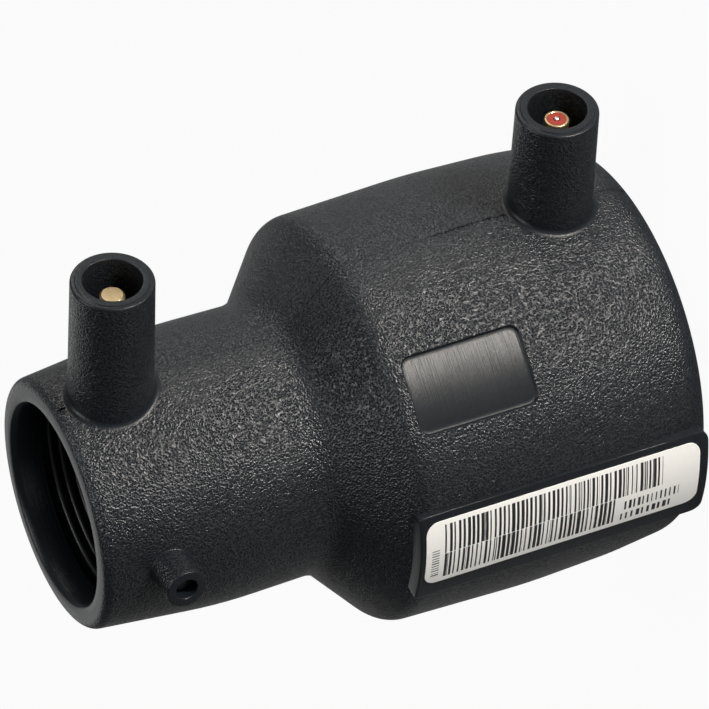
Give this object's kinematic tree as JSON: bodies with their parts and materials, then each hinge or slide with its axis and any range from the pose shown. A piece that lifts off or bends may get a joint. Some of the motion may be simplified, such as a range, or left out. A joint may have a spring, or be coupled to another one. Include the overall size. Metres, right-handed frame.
{
  "type": "reducing electrofusion coupler",
  "caption": "Black moulded pipe reducer with two stepped sockets, a wound heating wire, two shrouded terminals, fusion indicators and a label pad.",
  "frame": {"origin": "centre of the large mouth's face, on the pipe axis", "axes": "+Z along the pipe axis from the large mouth to the small one; +X along both terminal shrouds"},
  "size_m": [0.088, 0.0747, 0.1005],
  "materials": {
    "black_polyethylene": "spark-eroded grain with a soft gloss",
    "wire_coating": "smooth, pressed into ridges",
    "terminal_brass": "turned",
    "red_insulator": "smooth",
    "contact_metal": "bright",
    "resistor_body": "painted",
    "indicator_polyethylene": "smooth",
    "label_paper": "white with printed bars"
  },
  "bodies": {
    "root": {"body": "black_polyethylene", "heating_wire": "wire_coating", "terminal_pin": "terminal_brass", "terminal_sleeve": "terminal_brass", "terminal_insulator": "red_insulator", "centre_contact": "contact_metal", "coding_resistor": "resistor_body", "indicator_pin_small": "indicator_polyethylene", "indicator_pin_large": "indicator_polyethylene", "label": "label_paper"}
  },
  "joints": []
}
